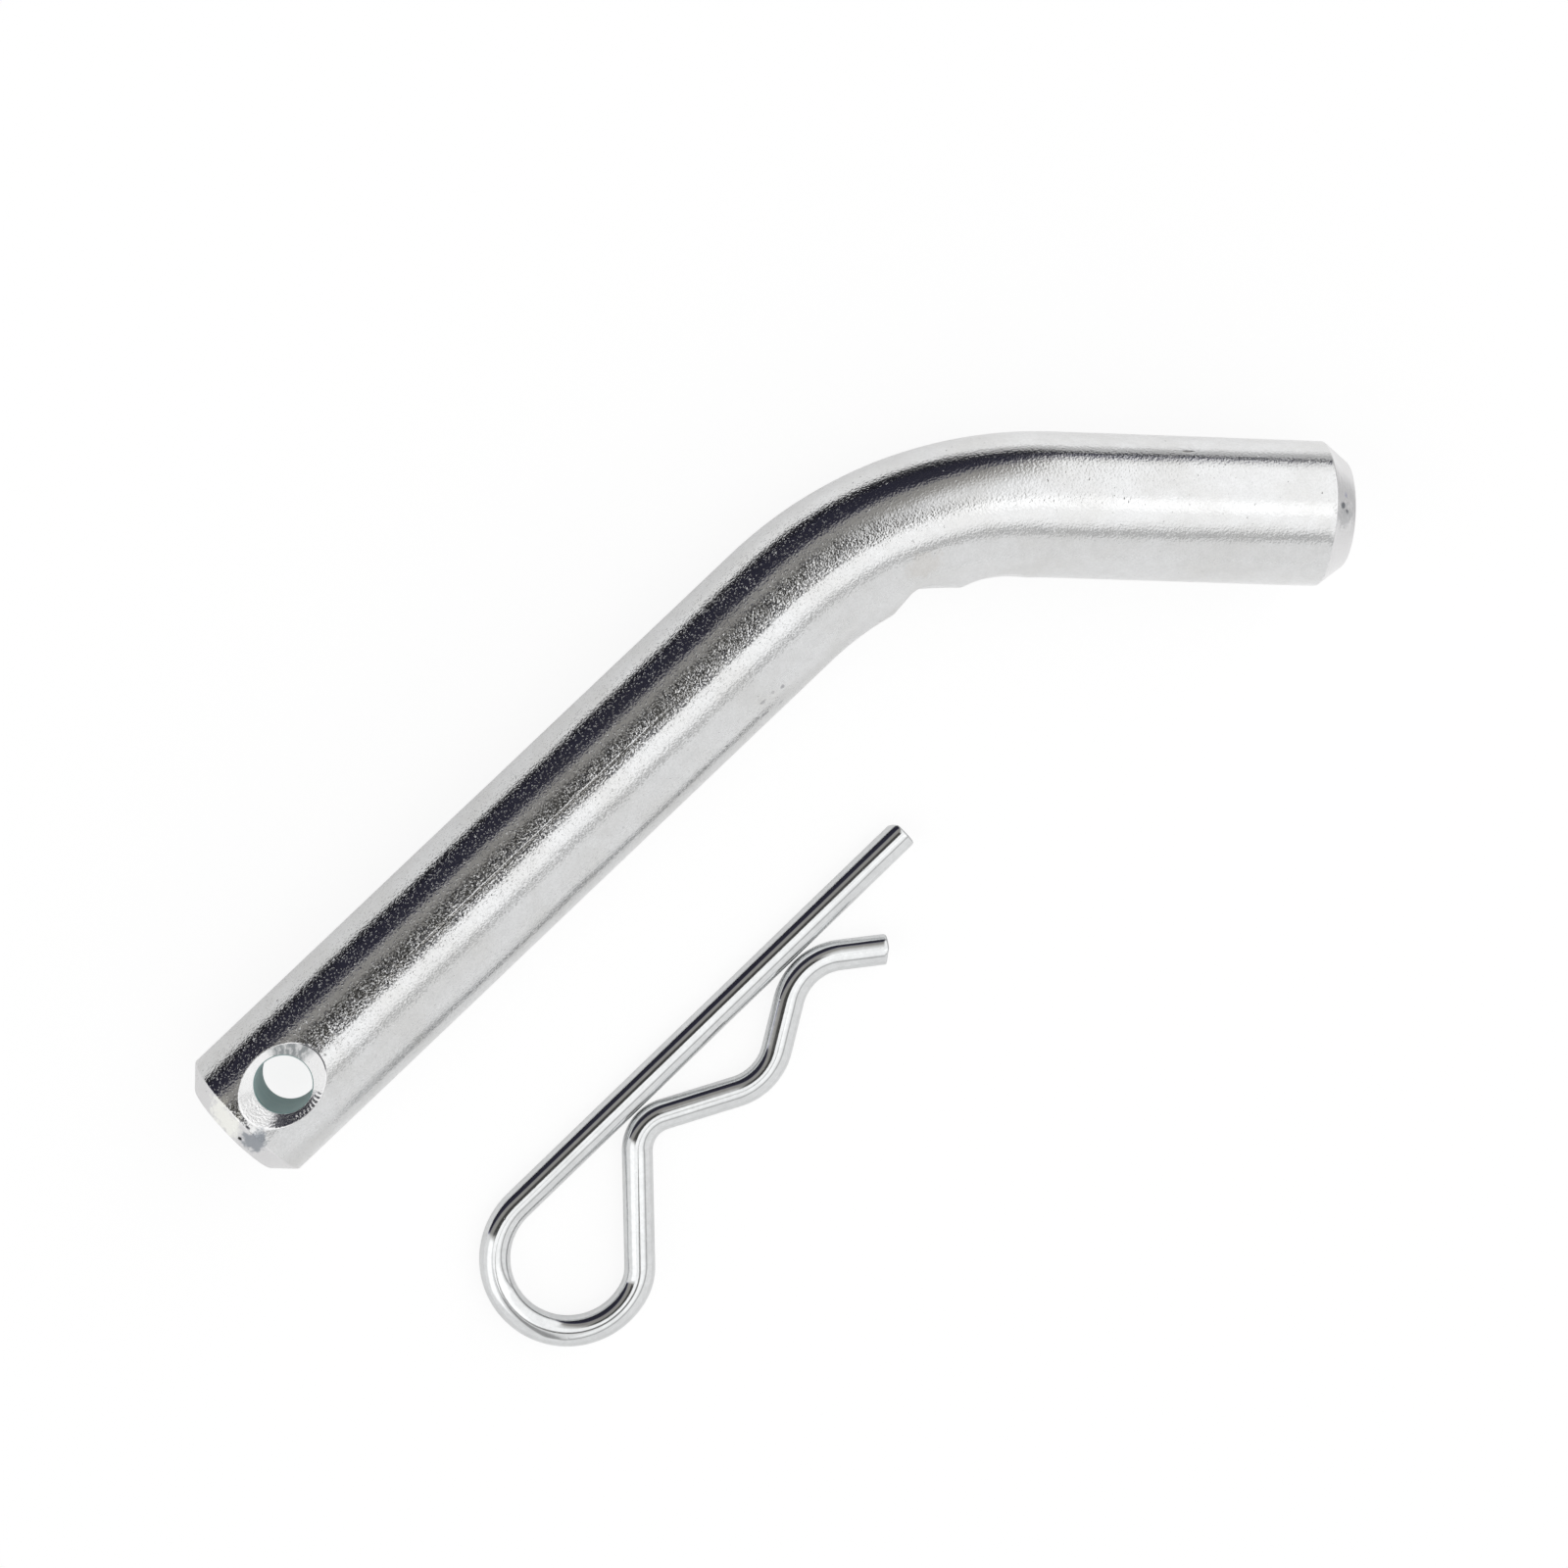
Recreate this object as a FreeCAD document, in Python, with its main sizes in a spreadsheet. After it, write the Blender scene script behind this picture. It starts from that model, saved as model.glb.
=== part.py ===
"""Hitch pin lock: a bent 5/8 in hitch pin and the one-wire spring clip that locks it.

Row frame, in millimetres: the origin is the centre of the pin's cross-hole, on the shank's axis.
+X leaves the shank through its free end, +Z runs along the cross-hole, away from the ground.
Both pieces lie flat, side by side: the bar's centre line is at Z = 0, the ground one radius below.
The clip's own frame has its origin at the centre of the finger loop and +X towards the tips.
"""
import FreeCAD, Part
import math
import os
import Sketcher
from FreeCAD import Placement, Rotation, Vector

SHEET = "Dimensions"

# Lengths in millimetres, angles in degrees.
DIMENSIONS = [
    ("PinDiameter", 15.875, "5/8 in round bar"),
    ("ShankLength", 80.8, "straight part, from the free end to the bend"),
    ("BendRadius", 41.0, "to the bar's centre line"),
    ("BendSweep", 45.0, "turn from the shank to the arm"),
    ("ArmLength", 32.5, "straight part, from the bend to the arm's end"),
    ("FreeChamfer", 2.1, "45 degree chamfer on the shank's free end"),
    ("ArmChamferLength", 2.7, "chamfer on the arm's end, along the bar"),
    ("ArmChamferDepth", 2.1, "the same, across the bar"),
    ("HoleInset", 7.8, "cross-hole's axis to the free end"),
    ("HoleDiameter", 6.0, "cross-hole"),
    ("SinkDiameter", 10.0, "mouth of each 90 degree countersink, at the crest of the shank"),
    ("CutMargin", 1.0, "how far a cutting profile runs past the surface that it cuts"),
    ("NotchStart", 14.2, "bending tool's notch, as an angle round the bend from the shank"),
    ("NotchRoot", 19.8, "where the notch is deepest"),
    ("NotchEnd", 28.3, "where the notch runs out"),
    ("NotchDepth", 1.8, "from the inner side of the bend to the notch's sharp corner"),
    ("NotchRadius", 3.0, "rounding of that corner"),
    ("MarkEnd", 41.5, "where the tool's shallow second mark runs out"),
    ("MarkRadius", 12.0, "hollow of the second mark"),
    ("WireDiameter", 3.4, "spring wire"),
    ("LoopRadius", 8.1, "finger loop, to the wire's centre line"),
    ("LegLength", 59.0, "straight leg, from the loop to its tip"),
    ("LoopSweep", 107.4, "from the loop's crown to where it tightens"),
    ("ThroatRadius", 5.65, "where the loop turns into the neck"),
    ("ThroatSweep", 30.1, "turn of the throat"),
    ("NeckLength", 12.7, "straight part from the throat to the first bend"),
    ("FirstRadius", 4.1, "first bend, close beside the straight leg"),
    ("FirstSweep", 74.7, "turn of the first bend"),
    ("RampLength", 8.4, "straight part up to the crest"),
    ("CrestRadius", 6.45, "crest, which leaves room for the shank under it"),
    ("CrestSweep", 59.7, "turn of the crest"),
    ("FallLength", 5.5, "straight part down to the latching bend"),
    ("LatchRadius", 6.65, "latching bend, which snaps past the shank"),
    ("LatchSweep", 69.6, "turn of the latching bend"),
    ("FlareLength", 5.35, "flared tip"),
    ("TipChamfer", 0.3, "cut ends of the wire"),
    ("ClipX", -7.4, "centre of the finger loop"),
    ("ClipY", 35.9, "centre of the finger loop"),
    ("ClipTurn", 180.2, "direction of the legs, about Z"),
]
SIZE = {name: value for name, value, note in DIMENSIONS}

BAR_RADIUS = SIZE["PinDiameter"] / 2
WIRE_RADIUS = SIZE["WireDiameter"] / 2
LEFT = 1
RIGHT = -1
MAX_VOLUME_ERROR = 0.002  # of a swept bar against its section times its length

# A sketch's own numbers for its axes and for the points of a line or an arc.
ORIGIN = (-1, 1)
X_AXIS = -1
Y_AXIS = -2
FIRST_POINT = 1
LAST_POINT = 2
CENTRE = 3


def cell(name):
    """The sheet's cell of that name, as it is written in an expression."""
    return f"<<{SHEET}>>.{name}"


def degrees(name):
    """The same for a cell that holds an angle."""
    return f"{cell(name)} * 1 deg"


def make_sheet(document):
    """Write the driving dimensions, one to a row, with their notes."""
    sheet = document.addObject("Spreadsheet::Sheet", SHEET)
    sheet.Label = SHEET
    for row, (name, value, note) in enumerate(DIMENSIONS, start=1):
        sheet.set(f"A{row}", name)
        sheet.set(f"B{row}", str(value))
        sheet.set(f"C{row}", note)
        sheet.setAlias(f"B{row}", name)
    document.recompute()


def make_body(document, label):
    """An empty PartDesign body with its node's name."""
    body = document.addObject("PartDesign::Body", label)
    body.Label = label
    return body


def make_sketch(body, name, plane_role):
    """A sketch that lies on one of its own body's origin planes."""
    sketch = body.newObject("Sketcher::SketchObject", name)
    plane = next(item for item in body.Origin.OriginFeatures if item.Role == plane_role)
    sketch.AttachmentSupport = [(plane, "")]
    sketch.MapMode = "FlatFace"
    return sketch


def drive(sketch, constraint, formula):
    """Add a dimension to a sketch and bind it to the sheet."""
    index = sketch.addConstraint(constraint)
    sketch.setExpression(f"Constraints[{index}]", formula)


class Path:
    """A chain of straight runs and tangent arcs in a sketch, each bound to the sheet."""

    def __init__(self, sketch, start, heading):
        self.sketch = sketch
        self.point = start
        self.heading = heading
        self.open_end = None
        self.length = 0.0

    def join(self, geometry, first, last):
        """Fasten a new piece's first point to the chain's end, without a kink."""
        if self.open_end is not None:
            self.sketch.addConstraint(Sketcher.Constraint("Tangent", *self.open_end, geometry, first))
        self.open_end = (geometry, last)

    def line(self, name):
        """A straight run as long as the named cell says."""
        length = SIZE[name]
        ahead = Vector(math.cos(self.heading), math.sin(self.heading), 0)
        end = self.point + ahead * length
        geometry = self.sketch.addGeometry(Part.LineSegment(self.point, end), False)
        drive(self.sketch, Sketcher.Constraint("Distance", geometry, length), cell(name))
        self.join(geometry, FIRST_POINT, LAST_POINT)
        self.point = end
        self.length += length
        return geometry

    def arc(self, radius_name, sweep, side, sweep_formula=None):
        """An arc that turns to one side. Its sweep is in degrees."""
        radius = SIZE[radius_name]
        turn = math.radians(sweep)
        towards_centre = self.heading + side * math.pi / 2
        centre = self.point + Vector(math.cos(towards_centre), math.sin(towards_centre), 0) * radius
        begin = towards_centre + math.pi
        finish = begin + side * turn
        circle = Part.Circle(centre, Vector(0, 0, 1), radius)
        arc = Part.ArcOfCircle(circle, min(begin, finish), max(begin, finish))
        geometry = self.sketch.addGeometry(arc, False)
        drive(self.sketch, Sketcher.Constraint("Radius", geometry, radius), cell(radius_name))
        if sweep_formula is not None:
            drive(self.sketch, Sketcher.Constraint("Angle", geometry, turn), sweep_formula)
        if side == LEFT:
            self.join(geometry, FIRST_POINT, LAST_POINT)
        else:
            self.join(geometry, LAST_POINT, FIRST_POINT)
        self.point = centre + Vector(math.cos(finish), math.sin(finish), 0) * radius
        self.heading += side * turn
        self.length += radius * turn
        return geometry

    def bend(self, kind, side):
        """An arc whose radius and sweep are the sheet's own cells, such as CrestRadius."""
        return self.arc(f"{kind}Radius", SIZE[f"{kind}Sweep"], side, degrees(f"{kind}Sweep"))


def fix_point(sketch, geometry, position, place, formula_x):
    """Hold a point on the sketch's X axis, at a driven distance from the origin."""
    sketch.addConstraint(Sketcher.Constraint("PointOnObject", geometry, position, X_AXIS))
    reach = Sketcher.Constraint("DistanceX", *ORIGIN, geometry, position, place)
    drive(sketch, reach, formula_x)


def sweep_bar(body, name, profile, path_sketch):
    """Sweep a round section along a sketched path."""
    pipe = body.newObject("PartDesign::AdditivePipe", name)
    pipe.Profile = profile
    edges = [f"Edge{number}" for number in range(1, path_sketch.GeometryCount + 1)]
    pipe.Spine = (path_sketch, edges)
    return pipe


def check_volume(shape, radius, length):
    """A sweep must hold its section times its length."""
    expected = math.pi * radius ** 2 * length
    if abs(shape.Volume - expected) > MAX_VOLUME_ERROR * expected:
        raise RuntimeError(f"sweep holds {shape.Volume:.1f} mm3, not {expected:.1f}")


def rims_at(shape, points):
    """Names of the circular edges that are centred on any of the points."""
    names = []
    for number, edge in enumerate(shape.Edges, start=1):
        if isinstance(edge.Curve, Part.Circle):
            if any(edge.Curve.Center.distanceToPoint(point) < 1e-4 for point in points):
                names.append(f"Edge{number}")
    return names


def bevel(body, base, name, point, size_name):
    """Chamfer the rim of a cut end at 45 degrees."""
    rims = rims_at(base.Shape, [point])
    if len(rims) != 1:
        raise RuntimeError(f"{base.Label}: found {len(rims)} rims, not 1")
    chamfer = body.newObject("PartDesign::Chamfer", name)
    chamfer.Base = (base, rims)
    chamfer.ChamferType = "Equal distance"
    chamfer.Size = SIZE[size_name]
    chamfer.setExpression("Size", cell(size_name))
    return chamfer


def long_bevel(document, body, base, name, point, length_name, depth_name):
    """Chamfer the rim of a cut end with one length along the bar and another across it."""
    chamfer = bevel(body, base, name, point, length_name)
    chamfer.ChamferType = "Two distances"
    chamfer.Size2 = SIZE[depth_name]
    chamfer.setExpression("Size2", cell(depth_name))
    document.recompute()
    if not face_rim(chamfer.Shape, point, BAR_RADIUS - SIZE[depth_name]):
        chamfer.FlipDirection = not chamfer.FlipDirection
        document.recompute()
    if not face_rim(chamfer.Shape, point, BAR_RADIUS - SIZE[depth_name]):
        raise RuntimeError(f"{name}: the end face has the wrong radius")
    return chamfer


def face_rim(shape, point, radius):
    """Whether a round edge of that radius is centred on the point."""
    rims = (shape.getElement(name) for name in rims_at(shape, [point]))
    return any(abs(rim.Curve.Radius - radius) < 1e-6 for rim in rims)


def draw_bar_section(sketch):
    """The bar's round section, on the sketch's origin."""
    geometry = sketch.addGeometry(Part.Circle(Vector(0, 0, 0), Vector(0, 0, 1), BAR_RADIUS), False)
    drive(sketch, Sketcher.Constraint("Diameter", geometry, 2 * BAR_RADIUS), cell("PinDiameter"))
    sketch.addConstraint(Sketcher.Constraint("Coincident", geometry, CENTRE, *ORIGIN))


def polygon(sketch, points):
    """Closed outline of straight lines. Returns the first line's number."""
    count = len(points)
    first = sketch.GeometryCount
    for index, point in enumerate(points):
        sketch.addGeometry(Part.LineSegment(point, points[(index + 1) % count]), False)
    for index in range(count):
        after = (index + 1) % count
        pair = Sketcher.Constraint("Coincident", first + index, LAST_POINT, first + after, FIRST_POINT)
        sketch.addConstraint(pair)
    return first


def drill_cross_hole(document, body):
    """Cut the cross-hole with its two countersinks, as one turned profile about Z."""
    hole = SIZE["HoleDiameter"] / 2
    sink = SIZE["SinkDiameter"] / 2
    top = BAR_RADIUS + SIZE["CutMargin"]
    cone_end = BAR_RADIUS - (sink - hole)
    profile = make_sketch(body, "CrossHoleProfile", "XZ_Plane")
    corners = [
        Vector(0, -top, 0),
        Vector(sink + SIZE["CutMargin"], -top, 0),
        Vector(hole, -cone_end, 0),
        Vector(hole, cone_end, 0),
        Vector(sink + SIZE["CutMargin"], top, 0),
        Vector(0, top, 0),
    ]
    first = polygon(profile, corners)
    bottom, lower_cone, wall, upper_cone, lid, axis = range(first, first + len(corners))
    for level in (bottom, lid):
        profile.addConstraint(Sketcher.Constraint("Horizontal", level))
    profile.addConstraint(Sketcher.Constraint("Vertical", wall))
    profile.addConstraint(Sketcher.Constraint("PointOnObject", axis, FIRST_POINT, Y_AXIS))
    profile.addConstraint(Sketcher.Constraint("PointOnObject", axis, LAST_POINT, Y_AXIS))
    drive(profile, Sketcher.Constraint("DistanceX", *ORIGIN, wall, FIRST_POINT, hole),
          f"{cell('HoleDiameter')} / 2")
    rise = f"({cell('PinDiameter')} - {cell('SinkDiameter')} + {cell('HoleDiameter')}) / 2"
    drive(profile, Sketcher.Constraint("DistanceY", *ORIGIN, wall, LAST_POINT, cone_end), rise)
    drive(profile, Sketcher.Constraint("DistanceY", wall, FIRST_POINT, *ORIGIN, cone_end), rise)
    mouth = f"{cell('SinkDiameter')} / 2 + {cell('CutMargin')}"
    height = f"{cell('PinDiameter')} / 2 + {cell('CutMargin')}"
    for corner, sign in (((lid, FIRST_POINT), 1), ((bottom, LAST_POINT), -1)):
        drive(profile, Sketcher.Constraint("DistanceX", *ORIGIN, *corner, sink + SIZE["CutMargin"]), mouth)
        ends = (*ORIGIN, *corner) if sign > 0 else (*corner, *ORIGIN)
        drive(profile, Sketcher.Constraint("DistanceY", *ends, top), height)
    document.recompute()
    groove = body.newObject("PartDesign::Groove", "CrossHole")
    groove.Profile = profile
    groove.ReferenceAxis = (profile, ["V_Axis"])
    groove.Angle = 360
    return groove


def bend_point(angle, depth):
    """A point by its angle round the bend and its depth under the bend's inner side."""
    reach = SIZE["BendRadius"] - BAR_RADIUS + depth
    turn = math.radians(angle)
    bend_start = SIZE["HoleInset"] - SIZE["ShankLength"]
    return Vector(bend_start - reach * math.sin(turn), SIZE["BendRadius"] - reach * math.cos(turn), 0)


def place_on_bend(sketch, geometry, position, angle_name, depth_name):
    """Drive a sketch point to its angle round the bend and its depth in the bar."""
    depth = SIZE[depth_name] if depth_name else 0
    point = bend_point(SIZE[angle_name], depth)
    reach = f"({cell('BendRadius')} - {cell('PinDiameter')} / 2"
    reach += f" + {cell(depth_name)})" if depth_name else ")"
    across = f"{cell('ShankLength')} - {cell('HoleInset')} + {reach} * sin({degrees(angle_name)})"
    along = f"{cell('BendRadius')} - {reach} * cos({degrees(angle_name)})"
    drive(sketch, Sketcher.Constraint("DistanceX", geometry, position, *ORIGIN, -point.x), across)
    drive(sketch, Sketcher.Constraint("DistanceY", *ORIGIN, geometry, position, point.y), along)


def arc_ends(sketch, geometry, point):
    """The arc's point numbers: the one at the given point first."""
    arc = sketch.Geometry[geometry]
    if arc.StartPoint.distanceToPoint(point) < arc.EndPoint.distanceToPoint(point):
        return FIRST_POINT, LAST_POINT
    return LAST_POINT, FIRST_POINT


def press_tool_marks(document, body):
    """Cut the notch and the shallow mark that the bending tool leaves inside the bend."""
    profile = make_sketch(body, "ToolMarkProfile", "XY_Plane")
    start = bend_point(SIZE["NotchStart"], 0)
    root = bend_point(SIZE["NotchRoot"], SIZE["NotchDepth"])
    ridge = bend_point(SIZE["NotchEnd"], 0)
    finish = bend_point(SIZE["MarkEnd"], 0)

    steep = profile.addGeometry(Part.LineSegment(start, root), False)
    slope = profile.addGeometry(Part.LineSegment(root, ridge), False)
    radius = SIZE["MarkRadius"]
    middle = (ridge + finish) / 2
    bend_centre = Vector(SIZE["HoleInset"] - SIZE["ShankLength"], SIZE["BendRadius"], 0)
    inwards = (bend_centre - middle).normalize()
    sagitta_base = math.sqrt(radius ** 2 - (finish - ridge).Length ** 2 / 4)
    centre = middle + inwards * sagitta_base
    crest = centre - inwards * radius
    hollow = profile.addGeometry(Part.Arc(finish, crest, ridge), False)
    closing = profile.addGeometry(Part.LineSegment(finish, start), False)

    place_on_bend(profile, steep, FIRST_POINT, "NotchStart", None)
    place_on_bend(profile, steep, LAST_POINT, "NotchRoot", "NotchDepth")
    place_on_bend(profile, slope, LAST_POINT, "NotchEnd", None)
    place_on_bend(profile, closing, FIRST_POINT, "MarkEnd", None)
    ridge_end, finish_end = arc_ends(profile, hollow, ridge)
    links = (
        ((steep, LAST_POINT), (slope, FIRST_POINT)),
        ((slope, LAST_POINT), (hollow, ridge_end)),
        ((hollow, finish_end), (closing, FIRST_POINT)),
        ((closing, LAST_POINT), (steep, FIRST_POINT)),
    )
    for one, other in links:
        profile.addConstraint(Sketcher.Constraint("Coincident", *one, *other))
    drive(profile, Sketcher.Constraint("Radius", hollow, radius), cell("MarkRadius"))
    document.recompute()

    pocket = body.newObject("PartDesign::Pocket", "ToolMark")
    pocket.Profile = profile
    pocket.Type = "ThroughAll"
    pocket.Midplane = True
    document.recompute()

    corner = [
        f"Edge{number}"
        for number, edge in enumerate(pocket.Shape.Edges, start=1)
        if all(math.hypot(end.X - root.x, end.Y - root.y) < 1e-4 for end in edge.Vertexes)
    ]
    rounding = body.newObject("PartDesign::Fillet", "ToolMarkRounding")
    rounding.Base = (pocket, corner)
    rounding.Radius = SIZE["NotchRadius"]
    rounding.setExpression("Radius", cell("NotchRadius"))
    return pocket, rounding


def expect_cut(document, before, after, what):
    """A cut that points away from the solid removes nothing and shows no error."""
    document.recompute()
    check_document(document)
    if after.Shape.Volume >= before.Shape.Volume:
        raise RuntimeError(f"{what} removed nothing")


def bent_pin(document):
    """The pin: a bar with a straight shank, a 45 degree bend and an arm to pull it by."""
    body = make_body(document, "bent_pin")
    route = make_sketch(body, "BarRoute", "XY_Plane")
    path = Path(route, Vector(SIZE["HoleInset"], 0, 0), math.pi)
    shank = path.line("ShankLength")
    route.addConstraint(Sketcher.Constraint("Horizontal", shank))
    fix_point(route, shank, FIRST_POINT, SIZE["HoleInset"], cell("HoleInset"))
    path.bend("Bend", RIGHT)
    path.line("ArmLength")

    section = make_sketch(body, "BarSection", "YZ_Plane")
    section.setExpression("AttachmentOffset.Base.z", cell("HoleInset"))
    section.AttachmentOffset = Placement(Vector(0, 0, SIZE["HoleInset"]), Rotation())
    draw_bar_section(section)
    document.recompute()
    bar = sweep_bar(body, "Bar", section, route)
    document.recompute()
    check_volume(bar.Shape, BAR_RADIUS, path.length)

    free_end = Vector(SIZE["HoleInset"], 0, 0)
    turned = bevel(body, bar, "FreeEndBevel", free_end, "FreeChamfer")
    document.recompute()
    bevelled = long_bevel(
        document, body, turned, "ArmEndBevel", path.point, "ArmChamferLength", "ArmChamferDepth")
    hole = drill_cross_hole(document, body)
    expect_cut(document, bevelled, hole, "cross-hole")
    mark, rounding = press_tool_marks(document, body)
    expect_cut(document, hole, mark, "tool mark")
    body.Tip = rounding
    return body


def start_at_crown(sketch, path, side):
    """The half of the finger loop that leaves its crown to one side, about the origin."""
    sweep = 90 if side == RIGHT else SIZE["LoopSweep"]
    formula = None if side == RIGHT else degrees("LoopSweep")
    loop = path.arc("LoopRadius", sweep, side, formula)
    crown = LAST_POINT if side == RIGHT else FIRST_POINT
    sketch.addConstraint(Sketcher.Constraint("Coincident", loop, CENTRE, *ORIGIN))
    sketch.addConstraint(Sketcher.Constraint("PointOnObject", loop, crown, X_AXIS))


def sweep_wire(document, body, route, path):
    """Sweep the wire from the loop's crown, and break the edge of its cut tip."""
    section = make_sketch(body, "WireSection", "XZ_Plane")
    draw_crown_section(section)
    document.recompute()
    wire = sweep_bar(body, "Wire", section, route)
    document.recompute()
    check_volume(wire.Shape, WIRE_RADIUS, path.length)
    tip = bevel(body, wire, "TipBevel", path.point, "TipChamfer")
    document.recompute()
    body.Tip = tip
    place_clip(body)


def draw_crown_section(section):
    """The wire's section where it crosses the loop's crown, on the -X side."""
    reach = SIZE["LoopRadius"]
    circle = Part.Circle(Vector(-reach, 0, 0), Vector(0, 0, 1), WIRE_RADIUS)
    geometry = section.addGeometry(circle, False)
    drive(section, Sketcher.Constraint("Diameter", geometry, 2 * WIRE_RADIUS), cell("WireDiameter"))
    section.addConstraint(Sketcher.Constraint("PointOnObject", geometry, CENTRE, X_AXIS))
    place = Sketcher.Constraint("DistanceX", geometry, CENTRE, *ORIGIN, reach)
    drive(section, place, cell("LoopRadius"))


def place_clip(body):
    """Lay the clip beside the shank, on the same ground as the pin."""
    lowered = WIRE_RADIUS - BAR_RADIUS
    place = Vector(SIZE["ClipX"], SIZE["ClipY"], lowered)
    body.Placement = Placement(place, Rotation(Vector(0, 0, 1), SIZE["ClipTurn"]))
    body.setExpression("Placement.Base.x", cell("ClipX"))
    body.setExpression("Placement.Base.y", cell("ClipY"))
    body.setExpression("Placement.Base.z", f"({cell('WireDiameter')} - {cell('PinDiameter')}) / 2")
    body.setExpression("Placement.Rotation.Angle", degrees("ClipTurn"))


def clip_straight_leg(document):
    """The clip's straight half, which goes through the cross-hole: crown to tip."""
    body = make_body(document, "clip_straight_leg")
    route = make_sketch(body, "LegRoute", "XY_Plane")
    path = Path(route, Vector(-SIZE["LoopRadius"], 0, 0), math.pi / 2)
    start_at_crown(route, path, RIGHT)
    leg = path.line("LegLength")
    route.addConstraint(Sketcher.Constraint("Horizontal", leg))
    sweep_wire(document, body, route, path)
    return body


def clip_spring_leg(document):
    """The clip's waved half, which springs over the shank: crown to flared tip."""
    body = make_body(document, "clip_spring_leg")
    route = make_sketch(body, "WaveRoute", "XY_Plane")
    path = Path(route, Vector(-SIZE["LoopRadius"], 0, 0), -math.pi / 2)
    start_at_crown(route, path, LEFT)
    path.bend("Throat", LEFT)
    path.line("NeckLength")
    path.bend("First", RIGHT)
    path.line("RampLength")
    path.bend("Crest", LEFT)
    path.line("FallLength")
    path.bend("Latch", RIGHT)
    path.line("FlareLength")
    sweep_wire(document, body, route, path)
    return body


def check_document(document):
    """Stop if any feature failed or any sketch is unsolved."""
    for item in document.Objects:
        if "Invalid" in item.State or "Error" in item.State:
            raise RuntimeError(f"{item.Label} failed: {item.State}")


def check_shape(body):
    """Stop unless a piece is one valid solid."""
    shape = body.Shape
    if shape.isNull() or not shape.isValid() or len(shape.Solids) != 1:
        raise RuntimeError(f"{body.Label} is not one valid solid")


def main():
    document = FreeCAD.newDocument("HitchPinLock")
    make_sheet(document)
    pieces = [bent_pin(document), clip_straight_leg(document), clip_spring_leg(document)]
    document.recompute()
    check_document(document)
    for piece in pieces:
        check_shape(piece)
        print(piece.Label, round(piece.Shape.Volume, 1), "mm3", piece.Shape.BoundBox)

    os.makedirs("parts", exist_ok=True)
    for piece in pieces:
        piece.Shape.exportStep(os.path.join("parts", f"{piece.Label}.step"))


main()
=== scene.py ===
"""A bent hitch pin and its spring clip, lying side by side on a pale table under a soft studio light.

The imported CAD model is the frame: every place below comes from it, in metres, and the dimensions in
millimetres repeat those of the CAD source. The pin and the clip are each one continuous mesh.
"""

import math

import bmesh
import bpy
import numpy as np
from mathutils import Matrix, Vector


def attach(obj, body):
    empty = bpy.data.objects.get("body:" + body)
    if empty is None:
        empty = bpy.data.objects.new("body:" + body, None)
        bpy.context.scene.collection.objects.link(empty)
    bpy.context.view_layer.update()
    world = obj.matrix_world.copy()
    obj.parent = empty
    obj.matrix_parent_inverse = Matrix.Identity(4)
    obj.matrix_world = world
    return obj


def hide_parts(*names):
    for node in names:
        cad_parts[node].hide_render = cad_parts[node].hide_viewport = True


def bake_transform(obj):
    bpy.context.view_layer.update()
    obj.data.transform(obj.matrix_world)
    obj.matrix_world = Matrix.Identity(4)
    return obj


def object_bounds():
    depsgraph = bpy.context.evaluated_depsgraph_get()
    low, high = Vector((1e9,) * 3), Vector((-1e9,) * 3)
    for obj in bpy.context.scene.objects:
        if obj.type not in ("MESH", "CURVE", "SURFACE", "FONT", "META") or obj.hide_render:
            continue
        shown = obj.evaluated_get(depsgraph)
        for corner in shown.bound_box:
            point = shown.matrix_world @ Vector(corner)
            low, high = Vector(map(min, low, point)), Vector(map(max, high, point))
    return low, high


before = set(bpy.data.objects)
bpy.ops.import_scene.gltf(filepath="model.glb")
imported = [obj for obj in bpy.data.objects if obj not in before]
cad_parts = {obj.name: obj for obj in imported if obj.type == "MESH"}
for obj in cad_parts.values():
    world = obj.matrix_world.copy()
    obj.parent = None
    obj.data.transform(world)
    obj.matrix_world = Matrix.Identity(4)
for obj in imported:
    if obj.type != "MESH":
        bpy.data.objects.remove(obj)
cad_low, cad_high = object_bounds()

MM = 0.001
TABLE_Z = cad_low.z / MM

# The pin, in millimetres and degrees.
BAR_RADIUS = 7.9375
SHANK_LENGTH = 80.8
BEND_RADIUS = 41.0
BEND_SWEEP = 45.0
ARM_LENGTH = 32.5
HOLE_INSET = 7.8
FREE_CHAMFER, ARM_CHAMFER = (2.1, 2.1), (2.7, 2.1)
HOLE_RADIUS = 3.0
SINK_RADIUS = 5.0
DIP_DEPTH, DIP_SIZE = 0.011, 9.0
NOTCH_START, NOTCH_ROOT, NOTCH_END, MARK_END = 14.2, 19.8, 28.3, 41.5
NOTCH_DEPTH = 1.8
NOTCH_RADIUS = 3.0
MARK_RADIUS = 12.0

# The clip.
WIRE_RADIUS = 1.7
LOOP_RADIUS = 8.1
LEG_LENGTH = 59.0
CLIP_PLACE = (-7.4, 35.9)
CLIP_TURN = 180.2
SPRING_LEG = (
    ("left", 5.65, 30.1), ("line", 12.7), ("right", 4.1, 74.7), ("line", 8.4),
    ("left", 6.45, 59.7), ("line", 5.5), ("right", 6.65, 69.6), ("line", 5.35),
)
LOOP_SWEEP = 107.4

# What cut a surface: 0 is the drawn bar or wire, 1 an end, 2 a countersink and 3 the bore.
END, CONE, BORE = 1.0, 2.0, 3.0

BEND_LENGTH = math.radians(BEND_SWEEP) * BEND_RADIUS
BAR_LENGTH = SHANK_LENGTH + BEND_LENGTH + ARM_LENGTH


def smooth(t):
    t = np.clip(t, 0.0, 1.0)
    return t * t * (3 - 2 * t)


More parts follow.
